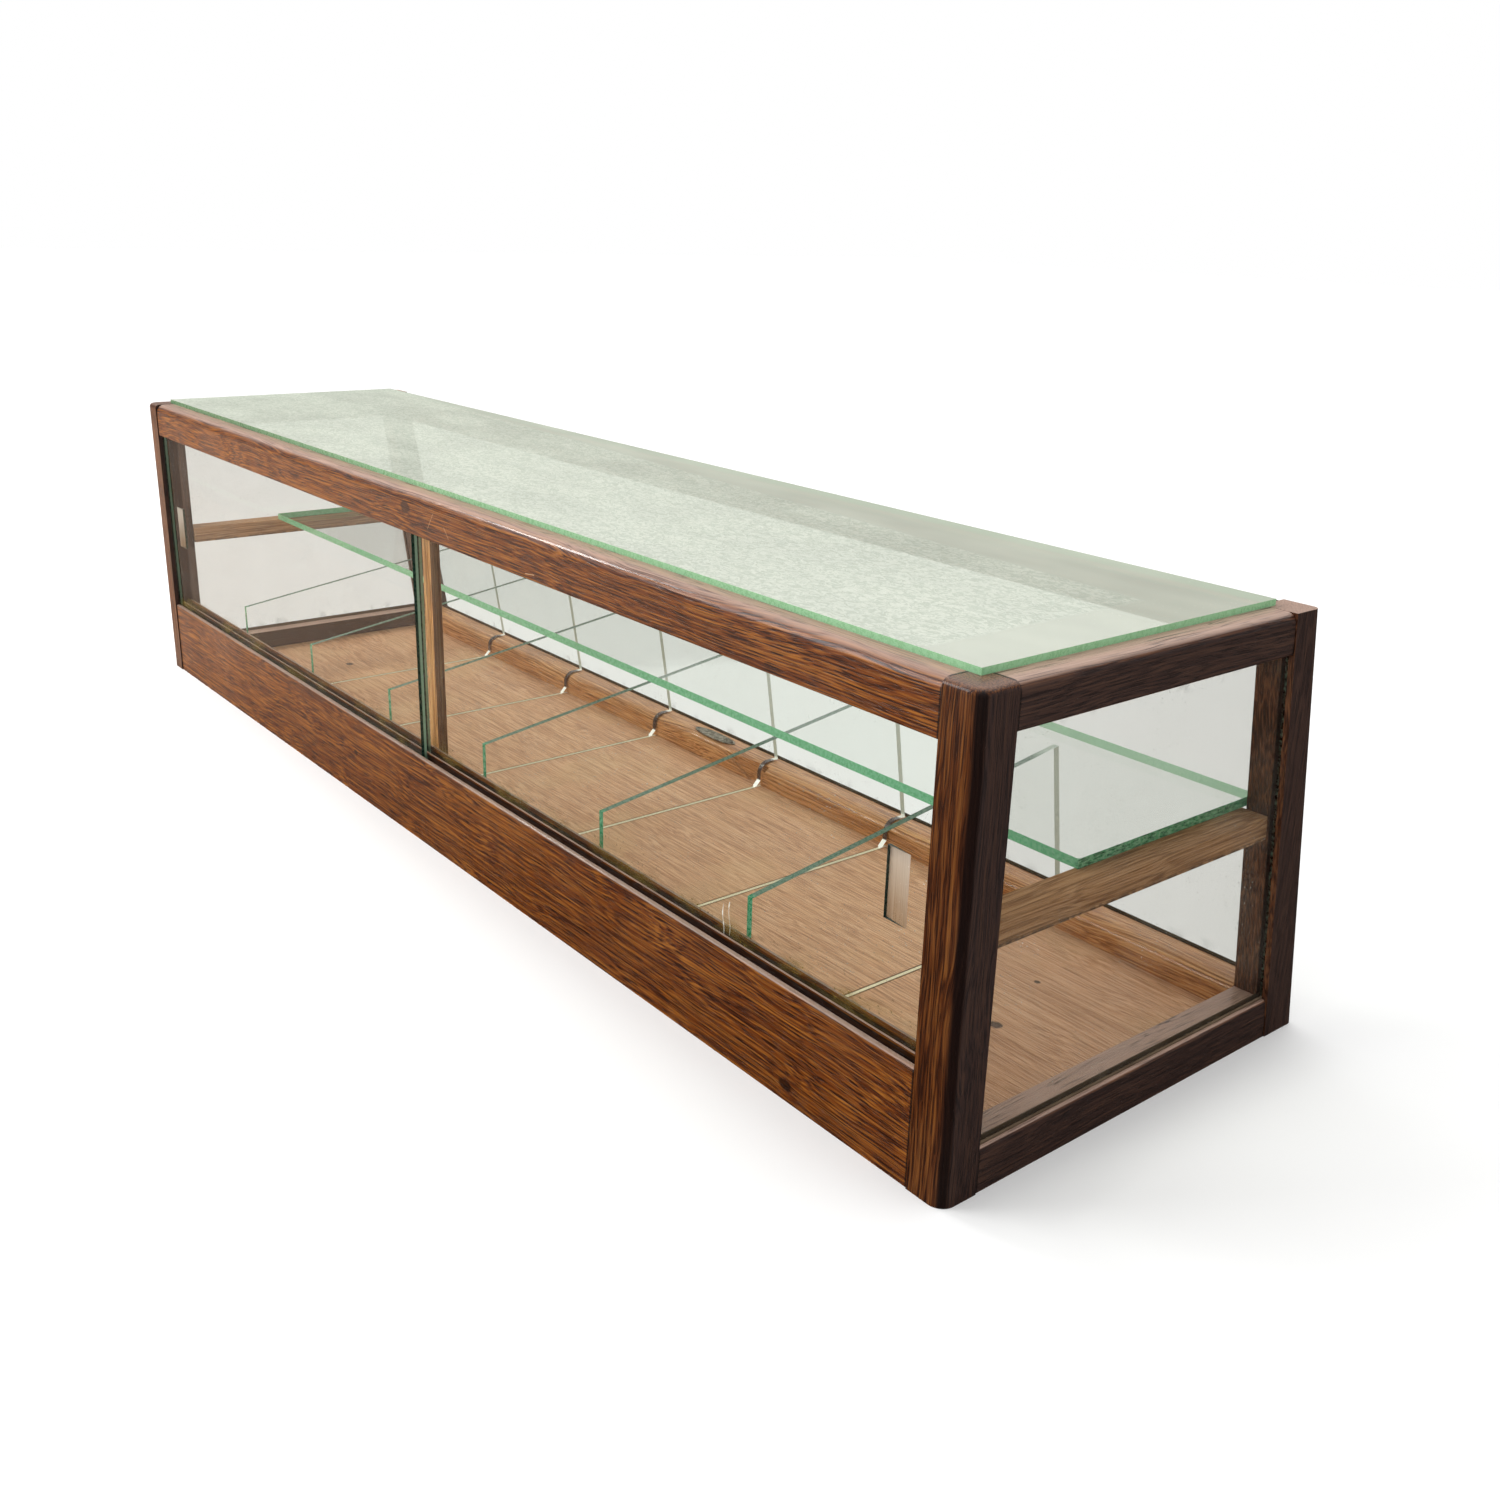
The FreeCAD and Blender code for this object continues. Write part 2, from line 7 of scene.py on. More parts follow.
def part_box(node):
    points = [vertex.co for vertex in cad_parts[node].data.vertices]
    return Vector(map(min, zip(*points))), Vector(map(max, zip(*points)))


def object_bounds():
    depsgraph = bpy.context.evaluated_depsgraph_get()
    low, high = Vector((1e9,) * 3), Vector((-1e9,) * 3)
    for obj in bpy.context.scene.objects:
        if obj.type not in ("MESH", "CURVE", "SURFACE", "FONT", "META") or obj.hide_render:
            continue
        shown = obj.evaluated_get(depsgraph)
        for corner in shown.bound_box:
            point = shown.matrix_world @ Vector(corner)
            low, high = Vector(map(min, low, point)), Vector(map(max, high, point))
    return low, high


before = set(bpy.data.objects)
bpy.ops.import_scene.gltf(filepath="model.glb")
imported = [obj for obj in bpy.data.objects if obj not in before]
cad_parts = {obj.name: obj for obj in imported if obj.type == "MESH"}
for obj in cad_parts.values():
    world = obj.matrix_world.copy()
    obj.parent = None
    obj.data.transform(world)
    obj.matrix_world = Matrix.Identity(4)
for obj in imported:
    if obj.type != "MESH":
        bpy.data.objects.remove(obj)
cad_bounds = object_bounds()
MM = 0.001


def rgb(red, green, blue):
    """An 8-bit display colour as the linear colour that shaders use."""
    def linear(value):
        value /= 255
        return value / 12.92 if value <= 0.04045 else ((value + 0.055) / 1.055) ** 2.4
    return (linear(red), linear(green), linear(blue), 1.0)


# ---- material recipes -----------------------------------------------------------------------
class Recipe:
    """A material while it is put together. Each method adds nodes and gives back an output."""

    def __init__(self, name):
        self.material = bpy.data.materials.new(name)
        self.material.use_nodes = True
        self.nodes = self.material.node_tree.nodes
        self.links = self.material.node_tree.links
        self.nodes.clear()
        coordinates = self.nodes.new("ShaderNodeTexCoord")
        self.place = coordinates.outputs["Object"]
        self.facing = coordinates.outputs["Normal"]

    def feed(self, socket, value):
        if isinstance(value, bpy.types.NodeSocket):
            self.links.new(value, socket)
        elif value is not None:
            socket.default_value = value

    def math(self, operation, a, b=None, c=None, clamp=False):
        node = self.nodes.new("ShaderNodeMath")
        node.operation = operation
        node.use_clamp = clamp
        for socket, value in zip(node.inputs, (a, b, c)):
            self.feed(socket, value)
        return node.outputs[0]

    def most(self, *values):
        """The largest of several masks."""
        result = values[0]
        for value in values[1:]:
            result = self.math("MAXIMUM", result, value)
        return result

    def product(self, *values):
        result = values[0]
        for value in values[1:]:
            result = self.math("MULTIPLY", result, value)
        return result

    def flipped(self, value):
        return self.math("SUBTRACT", 1.0, value)

    def split(self, vector):
        node = self.nodes.new("ShaderNodeSeparateXYZ")
        self.feed(node.inputs[0], vector)
        return node.outputs[0], node.outputs[1], node.outputs[2]

    def stretched(self, scale, shift=(0.0, 0.0, 0.0), vector=None):
        """Texture coordinates: the vector, or else the place on the piece, scaled and moved."""
        node = self.nodes.new("ShaderNodeVectorMath")
        node.operation = "MULTIPLY_ADD"
        self.feed(node.inputs[0], vector or self.place)
        self.feed(node.inputs[1], scale)
        self.feed(node.inputs[2], shift)
        return node.outputs[0]

    def noise(self, vector, detail=2.0, roughness=0.5, distortion=0.0):
        node = self.nodes.new("ShaderNodeTexNoise")
        self.feed(node.inputs["Vector"], vector)
        self.feed(node.inputs["Scale"], 1.0)
        self.feed(node.inputs["Detail"], detail)
        self.feed(node.inputs["Roughness"], roughness)
        self.feed(node.inputs["Distortion"], distortion)
        return node.outputs[0]

    def cells(self, vector):
        """Distance to the nearest of many scattered points."""
        node = self.nodes.new("ShaderNodeTexVoronoi")
        self.feed(node.inputs["Vector"], vector)
        self.feed(node.inputs["Scale"], 1.0)
        return node.outputs["Distance"]

    def step(self, value, low, high, bottom=0.0, top=1.0):
        """Smoothly from bottom to top as value goes from low to high."""
        node = self.nodes.new("ShaderNodeMapRange")
        node.interpolation_type = "SMOOTHSTEP"
        self.feed(node.inputs["Value"], value)
        self.feed(node.inputs["From Min"], low)
        self.feed(node.inputs["From Max"], high)
        self.feed(node.inputs["To Min"], bottom)
        self.feed(node.inputs["To Max"], top)
        return node.outputs[0]

    def within(self, value, low, high, soft):
        """1 between low and high, fading to 0 over soft outside them."""
        return self.product(self.step(value, low - soft, low), self.step(value, high + soft, high))

    def mix(self, factor, a, b, blend="MIX"):
        node = self.nodes.new("ShaderNodeMix")
        node.data_type = "RGBA"
        node.blend_type = blend
        self.feed(node.inputs[0], factor)
        self.feed(node.inputs[6], a)
        self.feed(node.inputs[7], b)
        return node.outputs[2]

    def ramp(self, value, stops):
        node = self.nodes.new("ShaderNodeValToRGB")
        self.feed(node.inputs[0], value)
        elements = node.color_ramp.elements
        while len(elements) < len(stops):
            elements.new(0.5)
        for element, (position, colour) in zip(elements, stops):
            element.position = position
            element.color = colour
        return node.outputs[0]

    def bump(self, height, distance):
        node = self.nodes.new("ShaderNodeBump")
        self.feed(node.inputs["Strength"], 1.0)
        self.feed(node.inputs["Distance"], distance)
        self.feed(node.inputs["Height"], height)
        return node.outputs[0]

    def shader(self, kind, **inputs):
        node = self.nodes.new(kind)
        for name, value in inputs.items():
            self.feed(node.inputs[name.replace("_", " ")], value)
        return node.outputs[0]

    def blend(self, factor, a, b):
        node = self.nodes.new("ShaderNodeMixShader")
        self.feed(node.inputs[0], factor)
        self.feed(node.inputs[1], a)
        self.feed(node.inputs[2], b)
        return node.outputs[0]

    def done(self, shader):
        output = self.nodes.new("ShaderNodeOutputMaterial")
        self.links.new(shader, output.inputs["Surface"])
        return self.material


def along(axis, lengthwise, across):
    """A texture scale that is lengthwise along one axis and across along the other two."""
    return tuple(lengthwise if name == axis else across for name in "XYZ")


# ---- oak ------------------------------------------------------------------------------------
DOOR_SIDE_TONES = (rgb(78, 32, 4), rgb(116, 58, 9), rgb(158, 96, 27))
POST_TONES = (rgb(58, 24, 4), rgb(88, 43, 9), rgb(122, 72, 24))
FRAME_TONES = (rgb(58, 30, 18), rgb(88, 52, 32), rgb(122, 80, 52))
LEDGE_TONES = (rgb(166, 106, 58), rgb(206, 142, 84), rgb(234, 178, 116))
RAW_TONES = (rgb(140, 98, 62), rgb(176, 132, 90), rgb(200, 156, 112))
FLOOR_TONES = (rgb(190, 138, 100), rgb(214, 163, 122), rgb(230, 184, 146))
PORE = rgb(42, 17, 7)
# Colour for end faces: a painted shade for faces turned away from the lights.
DULL_END_SHADE = rgb(50, 38, 37)
DUST = rgb(188, 156, 138)


def oak(name, grain, seed, tones, pores=0.7, pore_colour=PORE, shaded_dull_end=0.0, dusty_top=0.0,
        arris_dark_reflection=0.0, roughness=(0.3, 0.5), coat=0.35, joints=None, marks=None):
    """Oak whose pores, rings and ray fleck run along one axis.

    joints gives the two ends of the piece along its grain, where grime sits in the open joint.
    """
    r = Recipe(name)
    shift = (seed * 3.1, seed * 7.7, seed * 5.3)
    wander = r.noise(r.stretched(along(grain, 5, 22), shift), 2.0)
    sway = r.math("MULTIPLY", wander, 2.2)
    node = r.nodes.new("ShaderNodeCombineXYZ")
    for i, axis in enumerate("XYZ"):
        if axis != grain:
            r.feed(node.inputs[i], sway)
    swayed = node.outputs[0]

    def layer(lengthwise, across, offset, sway_gain):
        base = r.stretched(along(grain, lengthwise, across), tuple(s + offset for s in shift))
        return r.stretched((sway_gain,) * 3, base, swayed)

    lines = r.noise(layer(9, 980, 1.0, 8.4), 1.0)
    bands = r.noise(layer(3, 80, 2.0, 0.7), 2.0)
    pore_noise = r.noise(layer(60, 1500, 3.0, 12.8), 0.0)
    blotch = r.noise(r.stretched((11, 11, 11), shift), 3.0)
    tone = r.math("ADD", r.product(lines, 0.72), r.product(bands, 0.16))
    tone = r.math("ADD", tone, r.product(blotch, 0.12))
    colour = r.ramp(r.step(tone, 0.3, 0.7), [(0.0, tones[0]), (0.5, tones[1]), (1.0, tones[2])])
    dark = r.product(r.step(pore_noise, 0.5, 0.6), r.step(lines, 0.6, 0.44, 0.35, 1.0))
    colour = r.mix(r.product(dark, pores), colour, pore_colour)
    nx, ny, nz = r.split(r.facing)
    rough = r.step(blotch, 0.3, 0.7, *roughness)
    # Faces turned along X are painted dark purple-brown, a painted shade, and given a duller
    # finish.
    if shaded_dull_end:
        ends = r.product(r.step(r.math("ABSOLUTE", nx), 0.75, 0.95), shaded_dull_end)
        end_shade_colour = r.mix(0.88, colour, DULL_END_SHADE)
        end_shade_colour = r.mix(r.product(dark, 0.45), end_shade_colour, rgb(30, 20, 18))
        colour = r.mix(ends, colour, end_shade_colour)
        rough = r.math("MAXIMUM", rough, r.product(ends, 0.62))
    if dusty_top:
        tops = r.product(r.step(nz, 0.6, 0.97), dusty_top, r.step(lines, 0.15, 0.5))
        colour = r.mix(tops, colour, DUST)
        rough = r.math("MAXIMUM", rough, r.product(tops, 0.7))
    # The rounded arris between the front and the end face is painted near-black, a painted dark
    # reflection.
    if arris_dark_reflection:
        corner = r.product(r.step(r.math("ABSOLUTE", nx), 0.35, 0.6), r.step(ny, -0.3, -0.55))
        colour = r.mix(r.product(corner, arris_dark_reflection), colour, rgb(26, 10, 8))
    if joints:
        position = r.split(r.place)["XYZ".index(grain)]
        low, high = joints
        grime = r.most(r.step(position, low + 2.0 * MM, low + 0.9 * MM),
                       r.step(position, high - 2.0 * MM, high - 0.9 * MM))
        colour = r.mix(r.product(grime, 0.9), colour, rgb(16, 8, 6))
    if marks:
        colour = marks(r, colour, blotch)
    relief = r.math("SUBTRACT", r.product(lines, 0.4), dark)
    surface = r.shader(
        "ShaderNodeBsdfPrincipled", Base_Color=colour, Roughness=rough,
        Normal=r.bump(relief, 0.0002), Specular_IOR_Level=0.3, Coat_Weight=coat,
        Coat_Roughness=0.12)
    return r.done(surface)


def spot(r, centre, radius, axes="XZ"):
    """A soft round mask in two axes; radius gives its two half widths."""
    place = r.split(r.place)
    ragged = r.noise(r.stretched((260, 260, 260)), 3.0)
    total = r.product(r.math("SUBTRACT", ragged, 0.5), 1.2)
    for axis, middle, reach in zip(axes, centre, radius):
        offset = r.math("DIVIDE", r.math("SUBTRACT", place["XYZ".index(axis)], middle), reach)
        total = r.math("ADD", total, r.product(offset, offset))
    return r.step(total, 1.3, 0.5)


def ends_of(node, grain):
    low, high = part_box(node)
    return low["XYZ".index(grain)], high["XYZ".index(grain)]


def apron_marks(r, colour, blotch):
    """A worn, greyish band on the top lip's rounding with a painted highlight in it, the door
    tracks painted near-black as painted shade in the grooves, and one small knot.
    """
    _, y, z = r.split(r.place)
    _, _, nz = r.split(r.facing)
    low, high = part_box("door_sill_apron")
    # The lip's rounded arris is painted paler grey: worn finish, and a painted highlight where the
    # rounding faces up.
    worn = r.product(r.step(z, high.z - 6.5 * MM, high.z - 4.6 * MM), r.step(nz, 0.2, 0.8),
                     r.step(blotch, 0.3, 0.5, 0.35, 0.9))
    colour = r.mix(worn, colour, rgb(150, 126, 110))
    # The door tracks are painted near-black: painted shade in the grooves.
    track = r.product(r.step(z, high.z - 2.4 * MM, high.z - 4.5 * MM),
                      r.within(y, low.y + 3.6 * MM, high.y - 1.6 * MM, 0.2 * MM),
                      r.step(z, high.z - 12 * MM, high.z - 10 * MM))
    colour = r.mix(r.product(track, 0.85), colour, rgb(22, 12, 8))
    for x, z0, reach in ((0.478, 0.0108, 4.0), (-0.12, 0.041, 2.6)):
        knot = spot(r, (x, z0), (reach * 1.5 * MM, reach * MM))
        colour = r.mix(r.product(knot, 0.8), colour, rgb(28, 12, 6))
    return colour


def rail_marks(r, colour, blotch):
    """The bull-nosed rail: a dark knot near its middle and a few pale scratches."""
    x, y, z = r.split(r.place)
    knot = spot(r, (0.003, 0.281), (8 * MM, 5 * MM))
    colour = r.mix(r.product(knot, 0.8), colour, rgb(44, 22, 16))
    for x0, z0, slope, reach in ((0.045, 0.277, 1.3, 9.0), (0.191, 0.2655, 0.1, 11.0),
                                 (0.07, 0.272, -1.1, 6.0)):
        across = r.math("SUBTRACT", r.math("SUBTRACT", z, z0),
                        r.product(r.math("SUBTRACT", x, x0), slope))
        line = r.product(r.step(r.math("ABSOLUTE", across), 0.45 * MM, 0.1 * MM),
                         r.within(x, x0 - reach * MM / 2, x0 + reach * MM / 2, 1 * MM),
                         r.step(z, 0.290, 0.286))
        colour = r.mix(r.product(line, 0.7), colour, rgb(214, 172, 128))
    return colour


def ledge_marks(r, colour, blotch):
    """The customers' bottom rail is as dark as the frame outside the pane."""
    y = r.split(r.place)[1]
    outside = r.step(y, 154.5 * MM, 156 * MM)
    darkening = (0.17, 0.12, 0.1, 1.0)
    return r.mix(outside, colour, darkening, "MULTIPLY")


def cleat_marks(r, colour, blotch):
    """Grime along a shelf cleat's lower arris and in patches over it."""
    z = r.split(r.place)[2]
    ragged = r.noise(r.stretched((180, 180, 180)), 3.0, 0.7)
    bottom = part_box("right_shelf_cleat")[0].z
    arris = r.product(r.step(z, bottom + 3 * MM, bottom + 0.5 * MM), r.step(ragged, 0.4, 0.55))
    patches = r.product(r.step(blotch, 0.5, 0.7), 0.35)
    return r.mix(r.most(r.product(arris, 0.85), patches), colour, rgb(86, 68, 50))


def floor_marks(r, colour, blotch):
    """Two dark knots, a spot, rubbed paler patches, and pale lines where the dividers stand, a
    painted highlight matching the bright foot of each divider.
    """
    colour = r.mix(r.step(blotch, 0.5, 0.66, 0.0, 0.3), colour, rgb(206, 170, 128))
    place_x = r.split(r.place)[0]
    # Under each divider the floor is painted near-white, a painted highlight along the divider's
    # foot.
    for i in range(1, 7):
        low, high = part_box("divider_%d" % i)
        under = r.within(place_x, low.x + 1.1 * MM, high.x - 1.1 * MM, 0.4 * MM)
        colour = r.mix(under, colour, rgb(236, 230, 208))
    for x, y, reach in ((0.503, -0.009, 5.0), (0.481, 0.057, 2.6), (-0.475, -0.017, 5.0)):
        knot = spot(r, (x, y), (reach * MM, reach * 0.8 * MM), "XY")
        colour = r.mix(r.product(knot, 0.85), colour, rgb(58, 44, 38))
    return colour


# ---- glass ----------------------------------------------------------------------------------
def outward(r):
    """The surface's outward direction, also where it is seen from inside the glass."""
    geometry = r.nodes.new("ShaderNodeNewGeometry")
    node = r.nodes.new("ShaderNodeVectorMath")
    node.operation = "SCALE"
    r.feed(node.inputs[0], r.facing)
    r.feed(node.inputs["Scale"], r.math("MULTIPLY_ADD", geometry.outputs["Backfacing"], -2.0, 1.0))
    return node.outputs[0]


def fresnel(r):
    """Mirror share of one glass surface, the same from inside and outside."""
    geometry = r.nodes.new("ShaderNodeNewGeometry")
    node = r.nodes.new("ShaderNodeFresnel")
    r.feed(node.inputs["IOR"], r.step(geometry.outputs["Backfacing"], 0.0, 1.0, 1.5, 1 / 1.5))
    return node


def glass(name, normal, tint, edge, seed, dust=0.012, chipped=0.15,
          edge_extra=None, face_extra=None, mirror_share=1.0):
    """A pane that is seen through: its two faces pass and mirror light, its edges are green."""
    r = Recipe(name)
    shift = (seed * 2.3, seed * 4.1, seed * 6.7)
    r.facing = outward(r)
    aligned = r.nodes.new("ShaderNodeVectorMath")
    aligned.operation = "DOT_PRODUCT"
    r.feed(aligned.inputs[0], r.facing)
    r.feed(aligned.inputs[1], normal)
    is_face = r.step(r.math("ABSOLUTE", aligned.outputs["Value"]), 0.9, 0.97)
    ripple = r.noise(r.stretched((9, 9, 9), shift), 2.0)
    uneven = r.bump(ripple, 0.4 * MM)
    mirror = fresnel(r)
    r.feed(mirror.inputs["Normal"], uneven)
    clear = r.shader("ShaderNodeBsdfTransparent", Color=tint)
    shine = r.shader("ShaderNodeBsdfGlossy", Roughness=0.03, Normal=uneven)
    face = r.blend(r.product(mirror.outputs[0], mirror_share), clear, shine)
    film = r.noise(r.stretched((16, 16, 16), shift), 4.0, 0.6)
    specks = r.cells(r.stretched((260, 260, 260), shift))
    speck = r.product(r.step(specks, 0.13, 0.07), r.step(film, 0.5, 0.62))
    haze = r.math("ADD", r.step(film, 0.3, 0.8, 0.0, dust), r.product(speck, 0.5), clamp=True)
    powder = r.shader("ShaderNodeBsdfDiffuse", Color=rgb(214, 218, 206))
    face = r.blend(haze, face, powder)
    if face_extra:
        face = face_extra(r, face)
    grit = r.noise(r.stretched((420, 420, 420), shift), 3.0, 0.7)
    chip = r.step(r.noise(r.stretched((900, 900, 900), shift), 1.0), 0.66, 0.74)
    green = r.mix(r.step(grit, 0.4, 0.8, 0.0, 0.35), edge, rgb(170, 220, 185))
    green = r.mix(r.product(chip, chipped), green, rgb(24, 70, 48))
    # An edge rule may add a glow: painted light standing for light carried inside the glass.
    glow = 0.0
    if edge_extra:
        green, glow = edge_extra(r, green, grit)
    side = r.shader(
        "ShaderNodeBsdfPrincipled", Base_Color=green, Roughness=r.step(grit, 0.3, 0.7, 0.2, 0.4),
        Normal=r.bump(grit, 0.0001), Coat_Weight=0.4, Coat_Roughness=0.1,
        Emission_Color=green, Emission_Strength=glow)
    return r.done(r.blend(is_face, side, face))


def dress(node, material):
    """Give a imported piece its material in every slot."""
    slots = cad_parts[node].data.materials
    if not slots:
        slots.append(material)
    for i in range(len(slots)):
        slots[i] = material


def soften(node, width, segments):
    """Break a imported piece's sharp arrises by a fraction of a millimetre."""
    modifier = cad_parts[node].modifiers.new("arris", "BEVEL")
    modifier.width = width
    modifier.segments = segments
    modifier.limit_method = "ANGLE"
    modifier.angle_limit = math.radians(50)
    modifier.harden_normals = True


# ---- wood pieces ----------------------------------------------------------------------------
door_side = {"shaded_dull_end": 0.9, "pores": 0.85, "coat": 0.24}
for seed, node in enumerate(["front_left_post", "front_right_post"]):
    dress(node, oak(node + "_oak", "Z", 1 + seed, POST_TONES, arris_dark_reflection=0.95, dusty_top=0.25,
                    **door_side))
for seed, (node, marks, worn) in enumerate([
        ("door_side_top_rail", rail_marks, 0.75), ("door_sill_apron", apron_marks, 0.5)]):
    dress(node, oak(node + "_oak", "X", 3 + seed, DOOR_SIDE_TONES, dusty_top=worn, marks=marks,
                    joints=ends_of(node, "X"), **door_side))
for seed, (node, grain) in enumerate([
        ("rear_left_post", "Z"), ("rear_right_post", "Z"), ("customer_top_rail", "X"),
        ("customer_bottom_rail", "X"), ("left_end_top_rail", "Y"), ("right_end_top_rail", "Y"),
        ("left_end_bottom_rail", "Y"), ("right_end_bottom_rail", "Y"), ("centre_mullion", "Z")]):
    joints = ends_of(node, grain) if "rail" in node else None
    warm = node in ("customer_bottom_rail", "centre_mullion")
    dress(node, oak(node + "_oak", grain, 10 + seed, LEDGE_TONES if warm else FRAME_TONES,
                    pores=0.35 if warm else 0.7, joints=joints, shaded_dull_end=0.8,
                    dusty_top=0.2 if warm else 0.9,
                    marks=ledge_marks if node == "customer_bottom_rail" else None))
for seed, node in enumerate(["left_shelf_cleat", "right_shelf_cleat"]):
    dress(node, oak(node + "_oak", "Y", 30 + seed, RAW_TONES, pores=0.3,
                    pore_colour=rgb(84, 56, 34), coat=0.0, roughness=(0.6, 0.85),
                    marks=cleat_marks))
dress("floor_board", oak("floor_board_oak", "X", 40, FLOOR_TONES, pores=0.3,
                         pore_colour=rgb(96, 64, 42), coat=0.1, roughness=(0.45, 0.7),
                         marks=floor_marks))
for seed, node in enumerate(["rail_dowels", "apron_dowels"]):
    dress(node, oak(node + "_beech", "X", 50 + seed, RAW_TONES, pores=0.2, coat=0.0,
                    roughness=(0.6, 0.8)))

# ---- glass pieces ---------------------------------------------------------------------------
def grimy_border(sill, head):
    """Dirt on a fixed pane, close above its sill rail and below its head rail."""
    def add(r, face):
        z = r.split(r.place)[2]
        patchy = r.noise(r.stretched((60, 60, 60)), 3.0)
        low = r.step(z, sill + 2.6 * MM, sill + 1.8 * MM)
        drift = r.product(r.step(z, sill + 14 * MM, sill + 2 * MM), r.step(patchy, 0.52, 0.75), 0.2)
        top = r.product(r.step(z, head - 8 * MM, head - 1 * MM), r.step(patchy, 0.55, 0.7), 0.3)
        dirt = r.shader("ShaderNodeBsdfDiffuse",
                        Color=r.mix(patchy, rgb(78, 62, 50), rgb(128, 112, 92)))
        return r.blend(r.most(low, drift, top), face, dirt)
    return add


def door_face(node):
    """A door's frosted finger pull and the yellowish residue along its lower edge.

    The right door also has a short pale mark near its foot.
    """
    low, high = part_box(node)
    mark_x, mark_foot, mark_head = 401 * MM, 74 * MM, 96 * MM
    pull_width, pull_height, pull_bottom, from_edge = 17.5 * MM, 43 * MM, 145 * MM, 28.3 * MM
    left = low.x + from_edge if node.startswith("left") else high.x - from_edge - pull_width

    def add(r, face):
        x, y, z = r.split(r.place)
        recess = r.product(r.within(x, left, left + pull_width, 0.15 * MM),
                           r.within(z, pull_bottom, pull_bottom + pull_height, 0.15 * MM),
                           r.step(y, low.y + 3.2 * MM, low.y + 2.8 * MM))
        streaky = r.noise(r.stretched((1900, 40, 10)), 2.0)
        lift = r.step(z, pull_bottom, pull_bottom + pull_height)
        ground = r.mix(lift, rgb(128, 100, 70), rgb(182, 170, 154))
        ground = r.mix(r.step(streaky, 0.3, 0.7, 0.0, 0.22), ground, rgb(206, 198, 186))
        frost = r.shader("ShaderNodeBsdfDiffuse", Color=ground)
        clouded = r.step(streaky, 0.3, 0.7, 0.66, 0.74)
        face = r.blend(r.product(recess, clouded), face, frost)
        patchy = r.noise(r.stretched((24, 24, 60)), 4.0, 0.7)
        height = r.math("SUBTRACT", z, low.z)
        smear = r.product(r.step(height, 24 * MM, 9 * MM), r.step(patchy, 0.48, 0.72), 0.4)
        grains = r.cells(r.stretched((210, 210, 210)))
        crumbs = r.product(r.step(grains, 0.2, 0.12), r.step(height, 34 * MM, 8 * MM),
                           r.step(patchy, 0.48, 0.6), 0.8)
        residue = r.shader("ShaderNodeBsdfDiffuse",
                           Color=r.mix(patchy, rgb(150, 132, 62), rgb(120, 98, 58)))
        face = r.blend(r.most(smear, crumbs), face, residue)
        if node.startswith("left"):
            return face
        bend = r.product(r.math("SINE", r.product(z, 260.0)), 0.9 * MM)
        offset = r.math("ABSOLUTE", r.math("SUBTRACT", x, r.math("ADD", bend, mark_x)))
        mark = r.product(r.step(offset, 0.7 * MM, 0.2 * MM),
                         r.within(z, mark_foot, mark_head, 1.0 * MM),
                         r.step(grains, 0.5, 0.2, 0.4, 1.0))
        white = r.shader("ShaderNodeBsdfDiffuse",
                         Color=r.mix(patchy, rgb(240, 240, 232), rgb(222, 220, 206)))
        return r.blend(mark, face, white)
    return add


def door_edges(node):
    """A door's ground edge is dark at its outer arris and paler at its inner one."""
    middle = (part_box(node)[0].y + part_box(node)[1].y) / 2

    def rule(r, green, grit):
        y = r.split(r.place)[1]
        inner = r.step(y, middle - 0.2 * MM, middle + 0.6 * MM)
        green = r.mix(inner, rgb(20, 50, 42), rgb(136, 164, 138))
        return r.mix(r.step(grit, 0.4, 0.8, 0.0, 0.2), green, rgb(10, 30, 26)), 0.0
    return rule


def shelf_edges(r, green, grit):
    """The shelf's ground edges: deeper green and rougher at the right-hand end, and a rear edge
    painted paler that glows, painted light.

    Each edge rule gives a colour and a glow, which stands for light carried inside the glass.
    """
    x, y, _ = r.split(r.place)
    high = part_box("shelf_glass")[1]
    right = r.step(x, high.x - 3 * MM, high.x - 1 * MM)
    rough_spots = r.step(r.noise(r.stretched((160, 160, 700)), 3.0, 0.7), 0.42, 0.62)
    green = r.mix(r.product(right, rough_spots), green, rgb(44, 104, 74))
    # The rear edge is painted paler and glows, painted light carried inside the glass.
    rear = r.step(y, high.y - 3 * MM, high.y - 1 * MM)
    green = r.mix(r.product(rear, 0.6), green, rgb(184, 214, 190))
    return green, r.step(rear, 0.0, 1.0, 0.16, 0.5)


